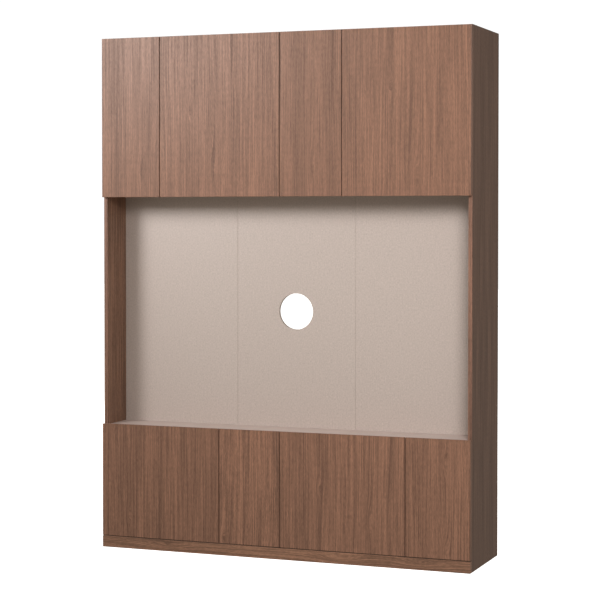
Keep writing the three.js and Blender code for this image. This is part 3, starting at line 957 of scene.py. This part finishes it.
def draw_out(piece, chosen, shift, resize=None):
    """Extrudes the chosen faces by a shift and then resizes them about their new middle."""
    pick(piece, "FACE", chosen)
    bpy.ops.mesh.extrude_region_move(TRANSFORM_OT_translate={"value": shift})
    if resize:
        bpy.ops.transform.resize(value=resize)
    bpy.ops.object.mode_set(mode="OBJECT")


def hinge_arm(seat):
    """An arm with its plate. X is the distance from the hinge's axis, Y from the door's front."""
    body_back = seat + ARM_BACK
    arm = block("arm", (seat, BODY_FRONT, -ARM_HALF_WIDTH), (body_back, BODY_REAR, ARM_HALF_WIDTH))
    body_middle = seat + ARM_BACK / 2
    neck_middle = (NECK_INNER + NECK_OUTER) / 2
    slimmer = ((NECK_OUTER - NECK_INNER) / ARM_BACK, 1, 1)

    def faces_front(middle, normal):
        return normal.y < -0.9

    def on_nose(middle, normal):
        return normal.x > 0.9 and NOSE_FRONT < middle.y < NOSE_REAR

    def on_outline(middle, way):
        return abs(middle.z) > ARM_HALF_WIDTH * 0.98 and middle.x > seat + 0.001

    draw_out(arm, faces_front, (neck_middle - body_middle, NECK_REAR - BODY_FRONT, 0), slimmer)
    draw_out(arm, faces_front, (0, NOSE_REAR - NECK_REAR, 0))
    draw_out(arm, faces_front, (0, NOSE_FRONT - NOSE_REAR, 0))
    draw_out(arm, on_nose, (NOSE_END - NECK_OUTER, 0, 0))
    ease(arm, ARM_CORNER, ARM_CORNER_STEPS, lambda middle, way: abs(way.z) > 0.9 and middle.y > NOSE_REAR)
    ease(arm, ARM_EASE, 1, on_outline)
    slot_low = (body_back - SLOT_DEPTH, PLATE_FRONT - SLOT_AHEAD, -SLOT_HALF_WIDTH)
    slot_high = (body_back + SLOT_AHEAD, PLATE_FRONT + SLOT_BEHIND, SLOT_HALF_WIDTH)
    shaped(arm, "DIFFERENCE", block("slot", slot_low, slot_high))
    plate_high = (seat + PLATE_THICKNESS, PLATE_REAR, PLATE_REACH)
    plate = block("plate", (seat, PLATE_FRONT, -PLATE_REACH), plate_high)
    ease(plate, PLATE_CORNER, PLATE_CORNER_STEPS, lambda middle, way: abs(way.x) > 0.9)
    ease(plate, PLATE_EASE, 1, lambda middle, way: middle.x > seat + PLATE_THICKNESS * 0.9)
    return shaped(arm, "UNION", plate)


def arm_screws(seat):
    """Two screws through the plate's wings, and the two that adjust the arm."""
    plate_face = seat + PLATE_THICKNESS
    body_back = seat + ARM_BACK
    plate_middle = (PLATE_FRONT + PLATE_REAR) / 2
    wing_screw = screw_head("wing_screw", (plate_face, plate_middle, 0), (1, 0, 0), *WING_SCREW)
    heads = [repeat(wing_screw, [(0, 0, side * WING_SCREW_PLACE) for side in (-1, 1)])]
    rear_seat = (body_back, BODY_REAR - REAR_SCREW_SETBACK, 0)
    heads.append(screw_head("rear_screw", rear_seat, (1, 0, 0), *REAR_SCREW))
    slot_seat = (body_back - SLOT_DEPTH, PLATE_FRONT + SIDE_SCREW_SETBACK, 0)
    heads.append(screw_head("side_screw", slot_seat, (1, 0, 0), *SIDE_SCREW))
    return joined(heads, "arm_screws")


ARM_PATTERNS = {}
for seat in (SIDE_SEAT, DIVIDER_SEAT):
    ARM_PATTERNS[seat] = (rounded(hinge_arm(seat)), rounded(arm_screws(seat)))
for name in DOORS:
    low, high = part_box(f"{name}_door")
    middles, towards = hinge_middles(name)
    axis_x = low.x if towards > 0 else high.x
    seat = SIDE_SEAT if abs(axis_x) > 0.5 else DIVIDER_SEAT
    for end, middle in middles.items():
        axis = Vector((axis_x, low.y, middle.z))
        arm = placed(ARM_PATTERNS[seat][0], f"{name}_{end}_arm", axis, towards)
        fit(arm, "carcass", "hinge_steel", hinge_steel)
        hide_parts(f"{name}_{end}_hinge_arm")
        screws = placed(ARM_PATTERNS[seat][1], f"{name}_{end}_arm_screws", axis, towards)
        fit(screws, "carcass", "hinge_steel", hinge_steel)
for patterns in ARM_PATTERNS.values():
    for pattern in patterns:
        bpy.data.objects.remove(pattern)


# The hinge links: two pressed straps with a round axle at each end, which join arm and cup.
# They lie folded in the cup when the door is shut.
LINK_RADII = (0.0245, 0.0335)
LINK_HALF_WIDTHS = (0.0040, 0.0052)
LINK_THICKNESS = 0.0016
LINK_FRONT = 0.0092
LINK_REAR = 0.0122
LINK_STEPS = 14
AXLE_RADIUS = 0.0012
AXLE_INSET_SHARE = 0.5
AXLE_REACH_SHARE = 1.05


def hinge_links():
    """Both links of one hinge, in the arm's frame."""
    straps = []
    for radius, half_width in zip(LINK_RADII, LINK_HALF_WIDTHS):
        step = (LINK_REAR - LINK_FRONT) / LINK_STEPS
        low = (radius, LINK_REAR - step, -half_width)
        strap = block("strap", low, (radius + LINK_THICKNESS, LINK_REAR, half_width))
        for _ in range(LINK_STEPS - 1):
            draw_out(strap, lambda middle, normal: normal.y < -0.9, (0, -step, 0))
        middle = radius + LINK_THICKNESS / 2
        inset = AXLE_RADIUS * AXLE_INSET_SHARE
        reach = half_width * AXLE_REACH_SHARE
        for y in (LINK_FRONT - inset, LINK_REAR + inset):
            straps.append(rod("axle", (middle, y, -reach), (middle, y, reach), AXLE_RADIUS, PIN_SIDES))
        straps.append(strap)
    return joined(straps, "hinge_links")


links_pattern = rounded(hinge_links())
for name in DOORS:
    low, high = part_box(f"{name}_door")
    middles, towards = hinge_middles(name)
    axis_x = low.x if towards > 0 else high.x
    for end, middle in middles.items():
        axis = Vector((axis_x, low.y, middle.z))
        links = placed(links_pattern, f"{name}_{end}_links", axis, towards)
        links.data.materials.clear()
        links.data.materials.append(hinge_steel)
        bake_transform(links)
bpy.data.objects.remove(links_pattern)


# Clear soft buffers, stuck on the backs of the doors at their free corners, where they meet the boards.
# Each is a small pressed dome, a little thinner than the gap behind the shut door.
BUFFER_RADIUS = 0.0042
BUFFER_RISE = 0.0018
BUFFER_INSET = 0.030
BUFFER_SIDES = 24
BUFFER_DOME_SHARE = 0.7
BUFFER_DOME_STEPS = 4


def clear_rubber(name):
    """Clear polyurethane, slightly clouded."""
    material, place = blank_material(name)
    tree = material.node_tree
    haze = feed(tree, "TexNoise", {"Vector": place, "Scale": 300.0, "Detail": 2.0})
    stops = ((0.2, (0.9, 0.9, 0.88)), (0.8, (1.05, 1.05, 1.05)))
    gloss = feed(tree, "MapRange", {"Value": haze, "To Min": 0.18, "To Max": 0.35})
    colour = tint_ramp(tree, haze, (0.75, 0.75, 0.73), stops)
    sockets = {"Base Color": colour, "Roughness": gloss, "Transmission Weight": 0.6, "IOR": 1.48}
    return finished(material, sockets)


buffer_rubber = clear_rubber("buffer rubber")
for name in DOORS:
    low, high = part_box(f"{name}_door")
    towards = hinge_middles(name)[1]
    x = (high.x if towards > 0 else low.x) - towards * BUFFER_INSET
    dome = rod("dome", (0, high.y, 0), (0, high.y + BUFFER_RISE, 0), BUFFER_RADIUS, BUFFER_SIDES)
    rim = high.y + BUFFER_RISE * (1 - TOP_SHARE)
    ease(dome, BUFFER_RISE * BUFFER_DOME_SHARE, BUFFER_DOME_STEPS, lambda middle, way: middle.y > rim)
    places = []
    for node in EDGE_BOARDS[name.split("_")[0]]:
        board_low, board_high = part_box(node)
        board_top = min(board_high.z, high.z - FINGER_BEVEL - BUFFER_RADIUS)
        places.append((x, 0, (board_low.z + board_top) / 2))
    buffers = rounded(repeat(dome, places, f"{name}_buffers"))
    fit(buffers, f"{name}_door", "inner_board", buffer_rubber)


# The floor: a plain pale studio floor that runs out of sight and is as bright as the wall behind.
FLOOR_REACH = 60
bpy.ops.object.select_all(action="DESELECT")
bpy.ops.mesh.primitive_plane_add(size=FLOOR_REACH)
floor = bpy.context.object
floor.name = "studio_floor"
floor_paint = bpy.data.materials.new("floor paint")
floor_paint.use_nodes = True
floor_shader = floor_paint.node_tree.nodes["Principled BSDF"]
floor_shader.inputs["Base Color"].default_value = (0.9, 0.9, 0.9, 1)
floor_shader.inputs["Roughness"].default_value = 0.9
floor_shader.inputs["Specular IOR Level"].default_value = 0.0
floor_shader.inputs["Emission Color"].default_value = (1, 1, 1, 1)
floor_shader.inputs["Emission Strength"].default_value = 1.0
floor.data.materials.append(floor_paint)
floor.visible_diffuse = False
floor.visible_glossy = False
floor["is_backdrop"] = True


# The light: white surroundings that the camera sees at full brightness and that fill the shadows, a
# large soft lamp high at the front left, another at the front right, and a broad fill behind.
SKY_FILL = 0.36
SKY_COLOUR = (1.04, 0.99, 0.87, 1)
world = bpy.data.worlds.new("studio")
bpy.context.scene.world = world
world.use_nodes = True
sky = world.node_tree
sky.nodes.clear()
seen_by_camera = feed(sky, "LightPath", {}, out="Is Camera Ray")
fill = feed(sky, "Background", {"Color": SKY_COLOUR, "Strength": SKY_FILL})
white = feed(sky, "Background", {"Color": (1, 1, 1, 1), "Strength": 1.05})
backdrop = feed(sky, "MixShader", {0: seen_by_camera, 1: fill, 2: white})
world_output = sky.nodes.new("ShaderNodeOutputWorld")
sky.links.new(backdrop, world_output.inputs["Surface"])
LAMPS = {
    "left_lamp": ((-3.1, -4.6, 3.65), (-1.50, -0.2, 2.60), 2.2, 64, 40),
    "right_lamp": ((3.35, -5.6, 3.45), (1.50, -0.2, 1.45), 2.2, 60, 37),
    "rear_fill": ((-4.0, 5.0, 3.00), (0.0, 0.0, 1.2), 3.0, 180, 180),
}
for name, (place, aim, size, spread, power) in LAMPS.items():
    bpy.ops.object.light_add(type="AREA", location=place)
    lamp = bpy.context.object
    lamp.name = name
    lamp.data.shape = "DISK"
    lamp.data.size = size
    lamp.data.spread = math.radians(spread)
    lamp.data.energy = power
    lamp.rotation_euler = (Vector(aim) - Vector(place)).to_track_quat("-Z", "Y").to_euler()


# The camera stands at eye height in front of the cabinet's right half, turned towards it.
CAMERA_PLACE = (3.003, -7.711, 1.5535)
CAMERA_TURN = (88.725, -0.014, 21.201)
LENS = 106.64
SHIFT_Y = -0.070
bpy.ops.object.camera_add(location=CAMERA_PLACE, rotation=Euler([math.radians(a) for a in CAMERA_TURN]))
camera = bpy.context.object
camera.name = "photo_camera"
camera.data.lens = LENS
camera.data.sensor_width = 36
camera.data.shift_y = SHIFT_Y
bpy.context.scene.camera = camera
bpy.context.scene.view_settings.view_transform = "Standard"


low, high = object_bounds()
